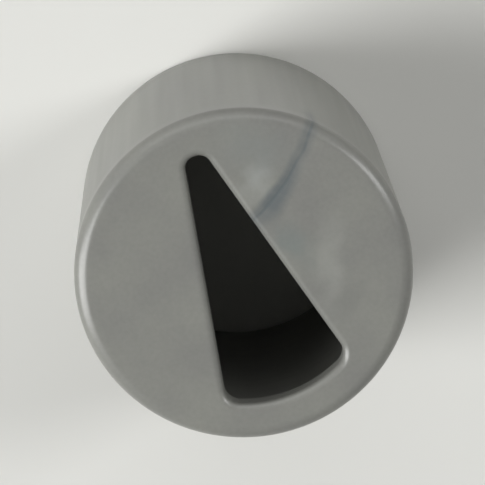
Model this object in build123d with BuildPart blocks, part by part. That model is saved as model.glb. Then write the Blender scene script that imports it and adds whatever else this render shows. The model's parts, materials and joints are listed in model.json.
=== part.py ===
# Pointer cap for a wheel bolt, moulded in one piece.
# A thin cup stands mouth down and pushes over the head of the bolt. A wedge-shaped window through its
# flat top is the pointer: caps on neighbouring bolts are set in line, and one that has turned shows.
# Millimetres, +Z up. The origin is the centre of the mouth rim, and the pointer's tip is towards +Y.
import os
from math import radians, sqrt, tan

from build123d import *

# Cup
BORE_DIAMETER = 21.0  # bites on the corners of a 19 mm hexagon head
WALL = 1.5  # at the top of the cup
HEIGHT = 25.0
TOP_THICKNESS = 1.5
OUTER_DRAFT = 0.5  # degrees, widening the outside towards the mouth
RIM_ROUND = 1.0  # outer edge of the top
CEILING_ROUND = 0.7  # between the bore and the underside of the top
MOUTH_LEAD_IN = 0.5  # chamfer that centres the cap on the bolt head
FOOT_ROUND = 0.3  # outer edge of the mouth rim

# Window in the top
WINDOW_LEDGE = 1.2  # left between the ends of the window and the bore
WINDOW_TIP_WIDTH = 1.55  # between the side lines at the tip
WINDOW_BASE_WIDTH = 9.3  # between the side lines at the base
WINDOW_TIP_ROUND = 0.85
WINDOW_CORNER_ROUND = 1.2
WINDOW_EDGE_ROUND = 0.5  # upper edge, all round the window

# Sizes that follow
bore_radius = BORE_DIAMETER / 2
top_radius = bore_radius + WALL
foot_radius = top_radius + HEIGHT * tan(radians(OUTER_DRAFT))
ceiling = HEIGHT - TOP_THICKNESS
window_reach = bore_radius - WINDOW_LEDGE
tip_half = WINDOW_TIP_WIDTH / 2
base_half = WINDOW_BASE_WIDTH / 2
tip_corner_y = sqrt(window_reach**2 - tip_half**2)
base_corner_y = -sqrt(window_reach**2 - base_half**2)

with BuildPart() as pointer_cap:
    # Cup: half of its section, turned about the bolt's axis
    with BuildSketch(Plane.XZ):
        with BuildLine():
            Polyline(
                (0, ceiling),
                (bore_radius, ceiling),
                (bore_radius, 0),
                (foot_radius, 0),
                (top_radius, HEIGHT),
                (0, HEIGHT),
                close=True,
            )
        make_face()
    revolve(axis=Axis.Z)

    # Its edges, from the mouth up: lead-in, outer foot, ceiling, and the rim of the top
    mouth_edge = pointer_cap.edges().group_by(Axis.Z)[0].sort_by(SortBy.RADIUS)[0]
    chamfer(mouth_edge, MOUTH_LEAD_IN)
    foot_edge = pointer_cap.edges().group_by(Axis.Z)[0].sort_by(SortBy.RADIUS)[-1]
    fillet(foot_edge, FOOT_ROUND)
    ceiling_face = pointer_cap.faces().filter_by(Plane.XY).sort_by(Axis.Z)[1]
    fillet(ceiling_face.edges(), CEILING_ROUND)
    top_face = pointer_cap.faces().sort_by(Axis.Z)[-1]
    fillet(top_face.edges(), RIM_ROUND)

    # Window: straight sides between two arcs about the bolt's axis
    with BuildSketch(Plane.XY.offset(ceiling)) as window:
        with BuildLine():
            base = ThreePointArc(
                (base_half, base_corner_y), (0, -window_reach), (-base_half, base_corner_y)
            )
            tip = ThreePointArc((-tip_half, tip_corner_y), (0, window_reach), (tip_half, tip_corner_y))
            Line(base @ 1, tip @ 0)
            Line(tip @ 1, base @ 0)
        make_face()
        fillet(window.vertices().group_by(Axis.Y)[-1], WINDOW_TIP_ROUND)
        fillet(window.vertices().group_by(Axis.Y)[0], WINDOW_CORNER_ROUND)
    extrude(amount=TOP_THICKNESS, mode=Mode.SUBTRACT)

    # Rounded upper edge of the window
    windowed_face = pointer_cap.faces().sort_by(Axis.Z)[-1]
    fillet(windowed_face.inner_wires()[0].edges(), WINDOW_EDGE_ROUND)

pointer_cap.part.label = "pointer_cap"

os.makedirs("parts", exist_ok=True)
export_step(pointer_cap.part, "parts/pointer_cap.step")
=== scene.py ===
"""Dresses the pointer cap: a grey moulded cap with a wedge-shaped window, standing on a pale floor."""
import json
from math import atan2, cos, exp, hypot, radians, sin, sqrt

import bmesh
import bpy
from mathutils import Matrix, Vector


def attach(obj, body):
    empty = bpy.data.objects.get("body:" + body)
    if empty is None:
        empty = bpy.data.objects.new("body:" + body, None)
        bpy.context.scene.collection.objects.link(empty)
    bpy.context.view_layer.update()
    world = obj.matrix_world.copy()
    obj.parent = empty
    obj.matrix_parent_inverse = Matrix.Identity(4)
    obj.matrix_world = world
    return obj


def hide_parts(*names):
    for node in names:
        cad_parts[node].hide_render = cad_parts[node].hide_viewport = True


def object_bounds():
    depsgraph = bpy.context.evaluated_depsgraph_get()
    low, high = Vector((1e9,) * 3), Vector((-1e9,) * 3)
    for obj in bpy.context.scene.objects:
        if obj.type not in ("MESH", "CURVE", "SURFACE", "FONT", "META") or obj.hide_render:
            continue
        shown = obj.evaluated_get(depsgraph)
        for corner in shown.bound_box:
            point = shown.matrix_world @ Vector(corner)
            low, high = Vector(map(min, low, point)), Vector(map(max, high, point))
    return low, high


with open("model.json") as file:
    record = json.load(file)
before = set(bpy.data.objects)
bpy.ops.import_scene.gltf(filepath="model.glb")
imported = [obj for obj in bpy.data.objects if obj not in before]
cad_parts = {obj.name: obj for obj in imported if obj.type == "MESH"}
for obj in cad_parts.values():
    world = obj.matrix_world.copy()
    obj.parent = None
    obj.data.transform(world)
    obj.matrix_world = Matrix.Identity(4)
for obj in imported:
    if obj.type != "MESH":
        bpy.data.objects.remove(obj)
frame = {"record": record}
cad_low, cad_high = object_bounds()

MM = 0.001  # the modelling below is in millimetres, and the finished mesh in metres

# Cap, as the solid has it
bolt_socket = next(mount for mount in frame["record"]["mounts"] if mount["name"] == "bolt_socket")
BORE_RADIUS = bolt_socket["dims"]["r_mm"]
HEIGHT = cad_high.z / MM
FOOT_RADIUS = min(cad_high.x, cad_high.y) / MM
WALL = 1.5  # at the top
TOP_RADIUS = BORE_RADIUS + WALL
TOP_THICKNESS = 1.5
CEILING = HEIGHT - TOP_THICKNESS
RIM_ROUND = 1.0
CEILING_ROUND = 0.7
MOUTH_LEAD_IN = 0.5
FOOT_ROUND = 0.3

# Window in the top, with its tip towards +Y
WINDOW_LEDGE = 1.2  # left between the ends of the window and the bore
WINDOW_REACH = BORE_RADIUS - WINDOW_LEDGE
WINDOW_TIP_WIDTH = 1.55
WINDOW_BASE_WIDTH = 9.3
WINDOW_TIP_ROUND = 0.85
WINDOW_CORNER_ROUND = 1.2
WINDOW_EDGE_ROUND = 0.5

# Weld line, where the melt closed round the window: from the window's right side to the rim
WELD_START = Vector((2.3, 3.65))
WELD_END = Vector((8.3, 8.0))
WELD_SAG = 0.45
WELD_DEPTH = 0.03
WELD_HALF_WIDTH = 0.55
WELD_WAVER = 0.12
WELD_DOWN_WALL = 6.0  # below the top, where it has faded out
WELD_LENGTH = (WELD_END - WELD_START).length
WELD_ANGLE = atan2(WELD_END.y - WELD_START.y, WELD_END.x - WELD_START.x)

# Marks that the melt left in the top as it flowed in beside the window: ovals, some of them hollows, each
# with its place, its half length and half width, the turn of its length from +X in degrees, its depth,
# and the colour that it tends to, with the share of that colour in its middle
FLOW_MARKS = (
    {"at": (3.5, 6.1), "half": (2.4, 1.7), "turn": 35, "depth": 0.02, "colour": "#A9AEAC", "share": 0.28},
    {"at": (4.2, 0.9), "half": (2.8, 1.8), "turn": 105, "depth": 0.0, "colour": "#687271", "share": 0.45},
    {"at": (5.9, -1.4), "half": (5.0, 1.5), "turn": 68, "depth": 0.02, "colour": "#9C9E97", "share": 0.3},
    {"at": (6.3, -4.3), "half": (2.6, 1.1), "turn": 25, "depth": 0.0, "colour": "#6E6F6B", "share": 0.4},
    {"at": (4.4, 8.2), "half": (4.2, 3.0), "turn": -35, "depth": 0.0, "colour": "#777C7A", "share": 0.4},
)

# Finish: the sizes of its patterns, some of them along X, Y and Z, and its optics
GRAIN = 0.3  # coarser than the real grain of the tool, to show
PEEL = 1.6
CLOUDS = (4.5, 4.5, 20.0)
DRAW_LINES = (0.9, 0.9, 30.0)
CORE_RINGS = (20.0, 20.0, 0.5)
ABS_IOR = 1.53
SATIN = (0.285, 0.305)  # roughness, from the glossiest clouds to the dullest
DULLER = 0.1  # the most that is added to it, along the wall's marks and in the weld line

# Mesh fineness
TIP_STEPS = 3
CORNER_STEPS = 10
SIDE_STEPS = 130
BASE_STEPS = 40
RIM_STEPS = 12
WINDOW_EDGE_STEPS = 7
CEILING_STEPS = 6
FOOT_STEPS = 4
TOP_CUTS = 44
WALL_CUTS = 15
RIM_MARGIN = 0.4  # flat left beside the rim's round
CEILING_MARGIN = 0.3  # flat left beside the ceiling's round
TOUCH = 0.001  # points nearer than this are in one place
SHARP_ANGLE = radians(30)

# Floor, in metres, and how far it lies below the mouth rim, in millimetres
FLOOR_REACH = 3.0
FLOOR_DROP = 0.02

# Camera: angles are in degrees, bearings from +X towards +Y, and the rest is in millimetres
CAMERA_BEARING = 74.3
CAMERA_ELEVATION = 77
CAMERA_DISTANCE = 180.0
CAMERA_LENS = 185
PICTURE_UP = 67.7  # bearing of the top of the picture
TARGET_HEIGHT = 0.8 * HEIGHT
TARGET_SHIFT = 1.4  # towards the top of the picture


# The cap's mesh

def window_outline(bm):
    """Draws the window's outline at the height of the top: four arcs and a straight side, mirrored."""
    tip = Vector((WINDOW_TIP_WIDTH / 2, sqrt(WINDOW_REACH**2 - (WINDOW_TIP_WIDTH / 2) ** 2)))
    base = Vector((WINDOW_BASE_WIDTH / 2, -sqrt(WINDOW_REACH**2 - (WINDOW_BASE_WIDTH / 2) ** 2)))
    side = (base - tip).normalized()
    inward = Vector((side.y, -side.x))

    def corner(rounding, end):
        """Centre of a corner's round, which touches the straight side and the arc at that end."""
        start = tip + inward * rounding
        middle = start.dot(side)
        reach = WINDOW_REACH - rounding
        return start + side * (end * sqrt(middle**2 - start.length_squared + reach**2) - middle)

    axis = Vector((0, 0))
    tip_corner = corner(WINDOW_TIP_ROUND, -1)
    base_corner = corner(WINDOW_CORNER_ROUND, 1)
    side_angle = atan2(-inward.y, -inward.x)
    tip_angle = atan2(tip_corner.y, tip_corner.x)
    base_angle = atan2(base_corner.y, base_corner.x)
    stretches = (
        (axis, WINDOW_REACH, radians(90), tip_angle, TIP_STEPS),
        (tip_corner, WINDOW_TIP_ROUND, tip_angle, side_angle, CORNER_STEPS),
        (base_corner, WINDOW_CORNER_ROUND, side_angle, base_angle, CORNER_STEPS),
        (axis, WINDOW_REACH, base_angle, radians(-90), BASE_STEPS),
    )
    ends = []
    for centre, radius, start, end, steps in stretches:
        first = bm.verts.new((centre.x + radius * cos(start), centre.y + radius * sin(start), HEIGHT))
        spun = bmesh.ops.spin(
            bm,
            geom=[first],
            cent=(centre.x, centre.y, HEIGHT),
            axis=(0, 0, 1),
            angle=end - start,
            steps=steps,
        )
        last = next(part for part in spun["geom_last"] if isinstance(part, bmesh.types.BMVert))
        ends.append((first, last))
    straight = bm.edges.new((ends[1][1], ends[2][0]))
    bmesh.ops.subdivide_edges(bm, edges=[straight], cuts=SIDE_STEPS - 1)
    bmesh.ops.remove_doubles(bm, verts=bm.verts[:], dist=TOUCH)
    bmesh.ops.mirror(bm, geom=bm.verts[:] + bm.edges[:], merge_dist=TOUCH, axis="X")
    return bm.edges[:]


def circle(bm, points, radius, height):
    """A circle about the bolt's axis."""
    lifted = Matrix.Translation((0, 0, height))
    made = bmesh.ops.create_circle(bm, segments=points, radius=radius, matrix=lifted)
    return list({edge for vert in made["verts"] for edge in vert.link_edges})


def drawn(bm, loop, scale, rise):
    """Extrudes a closed loop, scales the new loop about the bolt's axis and moves it up or down."""
    made = bmesh.ops.extrude_edge_only(bm, edges=loop)["geom"]
    verts = [part for part in made if isinstance(part, bmesh.types.BMVert)]
    edges = [part for part in made if isinstance(part, bmesh.types.BMEdge)]
    bmesh.ops.scale(bm, vec=(scale, scale, 1), verts=verts)
    bmesh.ops.translate(bm, vec=(0, 0, rise), verts=verts)
    return [edge for edge in edges if all(vert in verts for vert in edge.verts)]


def rounded(bm, loop, radius, steps):
    """Rounds a closed edge, or chamfers it where there is one step."""
    bmesh.ops.bevel(
        bm,
        geom=loop,
        offset=radius,
        offset_type="OFFSET",
        segments=steps,
        profile=0.5,
        affect="EDGES",
        material=-1,
        loop_slide=False,
    )


def weld_across(x, y):
    """How far a point of the top lies along the weld line, and to its left."""
    offset = Vector((x, y)) - WELD_START
    along = offset.x * cos(WELD_ANGLE) + offset.y * sin(WELD_ANGLE)
    left = offset.y * cos(WELD_ANGLE) - offset.x * sin(WELD_ANGLE)
    sag = 4 * WELD_SAG * along * (WELD_LENGTH - along) / WELD_LENGTH**2
    return along, left + sag


def moulded_marks(x, y):
    """How deep the top lies at a point: the valley of the weld line and the shallow flow marks.

    The valley starts crisply at the window, and fades half as fast at the rim.
    """
    along, across = weld_across(x, y)
    starts = 1 / (1 + exp(-4 * along))
    fades = 1 / (1 + exp(2 * (along - WELD_LENGTH)))
    depth = WELD_DEPTH * starts * fades * exp(-((across / WELD_HALF_WIDTH) ** 2))
    for mark in FLOW_MARKS:
        offset = Vector((x, y)) - Vector(mark["at"])
        offset.rotate(Matrix.Rotation(-radians(mark["turn"]), 2))
        half_length, half_width = mark["half"]
        depth += mark["depth"] * exp(-2 * ((offset.x / half_length) ** 2 + (offset.y / half_width) ** 2))
    return depth


def cap_mesh():
    """A sharp-edged cap first; then its edges are rounded and its faces divided for the marks."""
    bm = bmesh.new()
    window = window_outline(bm)
    points = len(bm.verts)
    flat_edge = TOP_RADIUS - RIM_ROUND - RIM_MARGIN
    ceiling_edge = BORE_RADIUS - CEILING_ROUND - CEILING_MARGIN

    shoulder = circle(bm, points, flat_edge, HEIGHT)
    bmesh.ops.bridge_loops(bm, edges=window + shoulder)
    rim = drawn(bm, shoulder, TOP_RADIUS / flat_edge, 0)
    foot = drawn(bm, rim, FOOT_RADIUS / TOP_RADIUS, -HEIGHT)
    window_below = drawn(bm, window, 1, CEILING - HEIGHT)
    ledge = circle(bm, points, ceiling_edge, CEILING)
    bmesh.ops.bridge_loops(bm, edges=window_below + ledge)
    corner = drawn(bm, ledge, BORE_RADIUS / ceiling_edge, 0)
    mouth = drawn(bm, corner, 1, -CEILING)
    bmesh.ops.bridge_loops(bm, edges=mouth + foot)
    bmesh.ops.recalc_face_normals(bm, faces=bm.faces[:])

    rounded(bm, rim, RIM_ROUND, RIM_STEPS)
    rounded(bm, window, WINDOW_EDGE_ROUND, WINDOW_EDGE_STEPS)
    rounded(bm, corner, CEILING_ROUND, CEILING_STEPS)
    rounded(bm, mouth, MOUTH_LEAD_IN, 1)
    rounded(bm, foot, FOOT_ROUND, FOOT_STEPS)

    def on_top(vert):
        return abs(vert.co.z - HEIGHT) < TOUCH

    def within_shoulder(vert):
        return hypot(vert.co.x, vert.co.y) < flat_edge - TOUCH

    # The top is divided along its spokes, from the window to the shoulder, and the walls by height
    level = [edge for edge in bm.edges if all(map(on_top, edge.verts))]
    spokes = [edge for edge in level if sum(map(within_shoulder, edge.verts)) == 1]
    bmesh.ops.subdivide_edges(bm, edges=spokes, cuts=TOP_CUTS, use_grid_fill=True)
    tall = [edge for edge in bm.edges if edge.calc_length() > HEIGHT / 2]
    bmesh.ops.subdivide_edges(bm, edges=tall, cuts=WALL_CUTS, use_grid_fill=True)
    for vert in filter(on_top, bm.verts):
        vert.co.z -= moulded_marks(vert.co.x, vert.co.y)

    for face in bm.faces:
        face.smooth = True
    for edge in bm.edges:
        edge.smooth = edge.calc_face_angle(0) < SHARP_ANGLE
    bmesh.ops.scale(bm, vec=(MM, MM, MM), verts=bm.verts[:])
    mesh = bpy.data.meshes.new("pointer_cap_moulding")
    bm.to_mesh(mesh)
    bm.free()
    return mesh


# Finishes

SMOOTH = {"interpolation_type": "SMOOTHSTEP"}


def linear(hex_colour):
    """An sRGB hex colour as the linear values that shaders take."""
    parts = [int(hex_colour[i : i + 2], 16) / 255 for i in (1, 3, 5)]
    return [p / 12.92 if p <= 0.04045 else ((p + 0.055) / 1.055) ** 2.4 for p in parts] + [1]


def add(tree, kind, inputs=None, **settings):
    """Adds one node. Settings are its own; inputs give a socket a value, a node or a node's output.

    Inputs 1 and 2 of a Map Range are the ends of the range that it reads, and 3 and 4 of what it gives.
    """
    made = tree.nodes.new(kind)
    for name, value in settings.items():
        setattr(made, name, value)
    for name, value in (inputs or {}).items():
        if isinstance(value, bpy.types.Node):
            value = next(output for output in value.outputs if output.enabled)
        if isinstance(value, bpy.types.NodeSocket):
            tree.links.new(value, made.inputs[name])
        else:
            made.inputs[name].default_value = value
    return made


def new_material(name):
    """An empty node material and its surface shader."""
    material = bpy.data.materials.new(name)
    material.use_nodes = True
    tree = material.node_tree
    tree.nodes.clear()
    shader = add(tree, "ShaderNodeBsdfPrincipled")
    add(tree, "ShaderNodeOutputMaterial", {"Surface": shader})
    return material, tree, shader


def tool_marks(tree, in_mm, from_axis, below_rim):
    """Lines of the draw on the outer wall, and turning rings in the bore. The top has neither."""
    upright = add(tree, "ShaderNodeMapping", {"Vector": in_mm, "Scale": [1 / size for size in DRAW_LINES]})
    lines = add(tree, "ShaderNodeTexNoise", {"Vector": upright, "Scale": 1.0, "Detail": 1.0})
    level = add(tree, "ShaderNodeMapping", {"Vector": in_mm, "Scale": [1 / size for size in CORE_RINGS]})
    rings = add(tree, "ShaderNodeTexNoise", {"Vector": level, "Scale": 1.0, "Detail": 1.0})
    in_wall = {"Value": from_axis, 1: BORE_RADIUS + 0.4 * WALL, 2: BORE_RADIUS + 0.2 * WALL}
    inside = add(tree, "ShaderNodeMapRange", in_wall, **SMOOTH)
    marks = add(tree, "ShaderNodeMix", {"Factor": inside, "A": lines, "B": rings}, data_type="FLOAT")
    return add(tree, "ShaderNodeMath", {0: marks, 1: below_rim}, operation="MULTIPLY")


def weld_marks(tree, in_mm, height, peel, streaks):
    """How strongly the weld line shows at a place: its bluish band, and the hair line of its notch."""
    on_line = add(
        tree,
        "ShaderNodeMapping",
        {"Vector": in_mm, "Location": (*WELD_START, 0), "Rotation": (0, 0, WELD_ANGLE)},
        vector_type="TEXTURE",
    )
    weld_place = add(tree, "ShaderNodeSeparateXYZ", {"Vector": on_line})
    along = weld_place.outputs["X"]

    # Millimetres across the line, which sags and wavers slightly, positive towards the pointer's tip
    left = add(tree, "ShaderNodeMath", {0: WELD_LENGTH, 1: along}, operation="SUBTRACT")
    bow = add(tree, "ShaderNodeMath", {0: left, 1: along}, operation="MULTIPLY")
    sag = {0: bow, 1: 4 * WELD_SAG / WELD_LENGTH**2, 2: weld_place.outputs["Y"]}
    sagged = add(tree, "ShaderNodeMath", sag, operation="MULTIPLY_ADD")
    waver = add(tree, "ShaderNodeMapRange", {"Value": peel, 1: 0.2, 2: 0.8, 3: -WELD_WAVER, 4: WELD_WAVER})
    across = add(tree, "ShaderNodeMath", {0: sagged, 1: waver}, operation="ADD")

    # Along the line it begins at the window, swells and then thins, and it fades down the wall
    begins = add(tree, "ShaderNodeMapRange", {"Value": along, 1: -1.2, 2: -0.4}, **SMOOTH)
    swells = add(tree, "ShaderNodeMapRange", {"Value": along, 1: -0.4, 2: 1.6, 3: 0.4, 4: 1.0}, **SMOOTH)
    thins = add(tree, "ShaderNodeMapRange", {"Value": along, 1: 2.6, 2: 5.0, 3: 1.0, 4: 0.55})
    wall = {"Value": height, 1: HEIGHT - WELD_DOWN_WALL, 2: HEIGHT - RIM_ROUND / 2}
    down_wall = add(tree, "ShaderNodeMapRange", wall, **SMOOTH)
    patchy = add(tree, "ShaderNodeMapRange", {"Value": streaks, 1: 0.3, 2: 0.6, 3: 0.7, 4: 1.0})
    shown = begins
    for share in (swells, thins, down_wall, patchy):
        shown = add(tree, "ShaderNodeMath", {0: shown, 1: share}, operation="MULTIPLY")

    # Across it the band is crisp towards the tip, and feathered on its far side, most of all near the window
    feather = add(tree, "ShaderNodeMapRange", {"Value": along, 1: 1.5, 2: 5.0, 3: -1.5, 4: -0.7})
    body = add(tree, "ShaderNodeMapRange", {"Value": along, 1: 1.5, 2: 5.0, 3: -0.4, 4: 0.0})
    far_side = add(tree, "ShaderNodeMapRange", {"Value": across, 1: feather, 2: body}, **SMOOTH)
    tip_side = add(tree, "ShaderNodeMapRange", {"Value": across, 1: 0.8, 2: 0.25}, **SMOOTH)
    band = shown
    for share in (far_side, tip_side):
        band = add(tree, "ShaderNodeMath", {0: band, 1: share}, operation="MULTIPLY")

    off_middle = add(tree, "ShaderNodeMath", {0: across}, operation="ABSOLUTE")
    hair_line = add(tree, "ShaderNodeMapRange", {"Value": off_middle, 1: 0.2, 2: 0.02}, **SMOOTH)
    notch = add(tree, "ShaderNodeMath", {0: hair_line, 1: shown}, operation="MULTIPLY")
    return band, notch


def flow_marked(tree, colour, in_mm, peel):
    """Lays the flow marks over a colour. Their outlines wander by up to 1 mm."""
    middle = (0.5, 0.5, 0.5)
    shift = add(tree, "ShaderNodeVectorMath", {0: peel.outputs["Color"], 1: middle}, operation="SUBTRACT")
    astray = {0: shift, 1: (2.0, 2.0, 0.0), 2: in_mm}
    wandering = add(tree, "ShaderNodeVectorMath", astray, operation="MULTIPLY_ADD")
    for mark in FLOW_MARKS:
        oval = add(
            tree,
            "ShaderNodeMapping",
            {
                "Vector": wandering,
                "Location": (*mark["at"], HEIGHT),
                "Rotation": (0, 0, radians(mark["turn"])),
                "Scale": (*mark["half"], RIM_ROUND),
            },
            vector_type="TEXTURE",
        )
        inwards = add(tree, "ShaderNodeTexGradient", {"Vector": oval}, gradient_type="SPHERICAL")
        reach = {"Value": inwards.outputs["Fac"], 4: mark["share"]}
        share = add(tree, "ShaderNodeMapRange", reach, **SMOOTH)
        tint = {"Factor": share, "A": colour, "B": linear(mark["colour"])}
        colour = add(tree, "ShaderNodeMix", tint, data_type="RGBA")
    return colour


def satin_grey_abs():
    """ABS, injection moulded in a lightly polished tool: a warm grey with a satin gloss and a fine grain.

    The melt leaves cloudy colour, faint streaks that follow the rim and a bluish weld line; drawing
    the part out of the tool leaves upright lines outside, and the turned core leaves rings inside.
    """
    material, tree, shader = new_material("satin_grey_abs")
    coords = add(tree, "ShaderNodeTexCoord")
    in_mm = add(tree, "ShaderNodeMapping", {"Vector": coords.outputs["Object"], "Scale": [1 / MM] * 3})
    height = add(tree, "ShaderNodeSeparateXYZ", {"Vector": in_mm}).outputs["Z"]
    flat = add(tree, "ShaderNodeVectorMath", {0: in_mm, 1: (1, 1, 0)}, operation="MULTIPLY")
    from_axis = add(tree, "ShaderNodeVectorMath", {0: flat}, operation="LENGTH")
    under = {"Value": height, 1: HEIGHT - RIM_ROUND, 2: HEIGHT - 3 * RIM_ROUND}
    below_rim = add(tree, "ShaderNodeMapRange", under, **SMOOTH)

    # Grain of the tool, the soft unevenness of its polish, and clouds in the melt, drawn out down the wall
    grain = add(tree, "ShaderNodeTexNoise", {"Vector": in_mm, "Scale": 1 / GRAIN, "Detail": 1.0})
    peel = add(tree, "ShaderNodeTexNoise", {"Vector": in_mm, "Scale": 1 / PEEL, "Detail": 1.0})
    drawn_out = add(tree, "ShaderNodeMapping", {"Vector": in_mm, "Scale": [1 / size for size in CLOUDS]})
    clouds = add(tree, "ShaderNodeTexNoise", {"Vector": drawn_out, "Scale": 1.0, "Detail": 2.0})

    # Flow streaks: noise that is 1 mm wide from the axis outwards, and long round it, about nine to a turn
    round_axis = add(tree, "ShaderNodeVectorMath", {0: flat}, operation="NORMALIZE")
    outwards = add(tree, "ShaderNodeCombineXYZ", {"Z": from_axis})
    turned = {0: round_axis, 1: (1.5, 1.5, 1.5), 2: outwards}
    polar = add(tree, "ShaderNodeVectorMath", turned, operation="MULTIPLY_ADD")
    streaks = add(tree, "ShaderNodeTexNoise", {"Vector": polar, "Scale": 1.0, "Detail": 2.0})

    wall_marks = tool_marks(tree, in_mm, from_axis, below_rim)
    weld_band, weld_notch = weld_marks(tree, in_mm, height, peel, streaks)

    # Colour, from the clouds and the grain to the flow marks and the weld line
    greys = {"Factor": clouds, "A": linear("#6F6F6D"), "B": linear("#80817A")}
    clouded = add(tree, "ShaderNodeMix", greys, data_type="RGBA")
    speckled = add(tree, "ShaderNodeMapRange", {"Value": grain, 1: 0.25, 2: 0.75, 3: 0.96, 4: 1.04})
    colour = add(tree, "ShaderNodeVectorMath", {0: clouded, "Scale": speckled}, operation="SCALE")
    colour = flow_marked(tree, colour, in_mm, peel)
    for line, hex_colour in ((weld_band, "#565C5E"), (weld_notch, "#535A5C")):
        darkened = {"Factor": line, "A": colour, "B": linear(hex_colour)}
        colour = add(tree, "ShaderNodeMix", darkened, data_type="RGBA")
    tree.links.new(colour.outputs["Result"], shader.inputs["Base Color"])
    shader.inputs["IOR"].default_value = ABS_IOR

    # Gloss: satin, duller along the wall's marks and in the weld line
    satin = {"Value": clouds, 1: 0.3, 2: 0.7, 3: SATIN[0], 4: SATIN[1]}
    gloss = add(tree, "ShaderNodeMapRange", satin)
    for dull in (wall_marks, weld_band):
        gloss = add(tree, "ShaderNodeMath", {0: dull, 1: DULLER, 2: gloss}, operation="MULTIPLY_ADD")
    tree.links.new(gloss.outputs[0], shader.inputs["Roughness"])

    # Relief in millimetres: grain, polish, streaks, wall marks and the notch of the weld line. It is
    # fainter on the walls, where the tool was polished along the draw.
    relief = add(tree, "ShaderNodeMath", {0: grain, 1: 0.002}, operation="MULTIPLY")
    for pattern, depth in ((peel, 0.008), (streaks, 0.004), (wall_marks, 0.004), (weld_notch, -0.008)):
        relief = add(tree, "ShaderNodeMath", {0: pattern, 1: depth, 2: relief}, operation="MULTIPLY_ADD")
    polished = add(tree, "ShaderNodeMapRange", {"Value": below_rim, 3: 1.0, 4: 0.4})
    bump = add(tree, "ShaderNodeBump", {"Height": relief, "Strength": polished, "Distance": MM})
    tree.links.new(bump.outputs[0], shader.inputs["Normal"])
    return material


def pale_matt_board():
    """Matt painted board, pale and plain."""
    material, _, shader = new_material("pale_matt_board")
    shader.inputs["Base Color"].default_value = linear("#D4D4D0")
    shader.inputs["Roughness"].default_value = 0.8
    return material


# Scene

def dress_cap():
    """The cap's finished mesh stands in for the plain solid."""
    cap = bpy.data.objects.new("pointer_cap_moulding", cap_mesh())
    cap.data.materials.append(satin_grey_abs())
    bpy.context.scene.collection.objects.link(cap)
    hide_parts("pointer_cap")
    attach(cap, "root")


def lay_floor():
    """A wide board, a hair below the mouth rim so that the two don't lie in one plane."""
    bm = bmesh.new()
    bmesh.ops.create_grid(bm, size=FLOOR_REACH)
    bmesh.ops.translate(bm, vec=(0, 0, -FLOOR_DROP * MM), verts=bm.verts[:])
    mesh = bpy.data.meshes.new("floor")
    bm.to_mesh(mesh)
    bm.free()
    floor = bpy.data.objects.new("floor", mesh)
    floor.data.materials.append(pale_matt_board())
    bpy.context.scene.collection.objects.link(floor)


def direction(bearing, elevation):
    """Unit vector towards a bearing, from +X towards +Y, and an elevation, in degrees."""
    b, e = radians(bearing), radians(elevation)
    return Vector((cos(b) * cos(e), sin(b) * cos(e), sin(e)))


def hang_softbox(name, bearing, elevation, distance, width, height, watts):
    """A rectangular lamp that faces the middle of the cap's top. Its sizes are in metres."""
    light = bpy.data.lights.new(name, "AREA")
    light.shape = "RECTANGLE"
    light.size = width
    light.size_y = height
    light.energy = watts
    lamp = bpy.data.objects.new(name, light)
    aim = direction(bearing, elevation)
    lamp.location = Vector((0, 0, HEIGHT * MM)) + aim * distance
    lamp.rotation_euler = aim.to_track_quat("Z", "Y").to_euler()
    bpy.context.scene.collection.objects.link(lamp)


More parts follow.
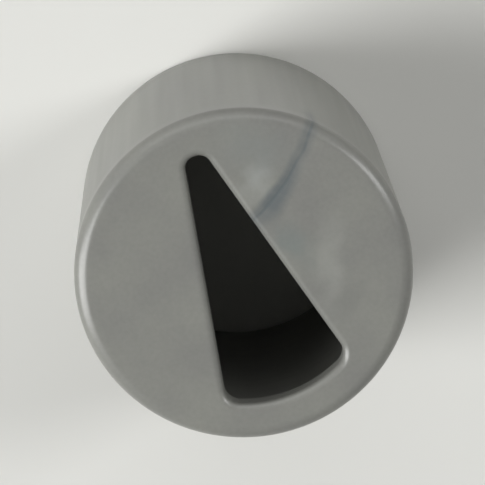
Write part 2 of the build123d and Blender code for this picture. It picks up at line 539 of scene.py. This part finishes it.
def light_room():
    """A pale room with a key, a strip of fill, and a dim card at the top of the picture.

    The room's own light on things is low, and comes mostly from eye level. The room that the camera and
    reflections see is paler on the whole, most of all at the top of the picture.
    """
    world = bpy.data.worlds.new("room")
    world.use_nodes = True
    tree = world.node_tree
    tree.nodes.clear()
    towards = add(tree, "ShaderNodeTexCoord").outputs["Generated"]
    upwards = add(tree, "ShaderNodeSeparateXYZ", {"Vector": towards}).outputs["Z"]
    glow = add(tree, "ShaderNodeMapRange", {"Value": upwards, 3: 0.42, 4: 0.06})
    overhead = add(tree, "ShaderNodeMapRange", {"Value": upwards, 3: 0.7, 4: 0.46})
    card_side = {0: towards, 1: direction(78, 0)}
    facing = add(tree, "ShaderNodeVectorMath", card_side, operation="DOT_PRODUCT")
    paler = add(tree, "ShaderNodeMapRange", {"Value": facing.outputs["Value"], 1: -1.0, 3: 0.6, 4: 2.2})
    shown = add(tree, "ShaderNodeMath", {0: overhead, 1: paler}, operation="MULTIPLY")
    path = add(tree, "ShaderNodeLightPath")
    seen = path.outputs["Is Camera Ray"]
    for ray in ("Is Glossy Ray", "Is Transmission Ray"):
        seen = add(tree, "ShaderNodeMath", {0: seen, 1: path.outputs[ray]}, operation="MAXIMUM")
    strength = add(tree, "ShaderNodeMix", {"Factor": seen, "A": glow, "B": shown}, data_type="FLOAT")
    walls = add(tree, "ShaderNodeBackground", {"Color": linear("#F4F4F1"), "Strength": strength})
    add(tree, "ShaderNodeOutputWorld", {"Surface": walls})
    bpy.context.scene.world = world
    hang_softbox("key_softbox", 174, 36, distance=1.0, width=0.48, height=1.04, watts=13.0)
    hang_softbox("fill_softbox", 1, 40, distance=1.2, width=0.28, height=0.72, watts=4.8)
    hang_softbox("back_card", 74, 40, distance=1.6, width=2.0, height=0.72, watts=5.2)


def place_camera():
    """Looks nearly straight down, as the photograph does on this cap."""
    camera = bpy.data.objects.new("camera", bpy.data.cameras.new("camera"))
    bpy.context.scene.collection.objects.link(camera)
    away = direction(CAMERA_BEARING, CAMERA_ELEVATION)
    up = direction(PICTURE_UP, 0)
    right = up.cross(away).normalized()
    turned = Matrix((right, away.cross(right), away)).transposed().to_4x4()
    target = Vector((0, 0, TARGET_HEIGHT * MM)) + TARGET_SHIFT * MM * up
    camera.matrix_world = Matrix.Translation(target + away * CAMERA_DISTANCE * MM) @ turned
    camera.data.sensor_width = 36
    camera.data.lens = CAMERA_LENS
    camera.data.clip_start = 0.01
    bpy.context.scene.camera = camera


dress_cap()
lay_floor()
light_room()
place_camera()
bpy.context.scene.view_settings.view_transform = "Standard"
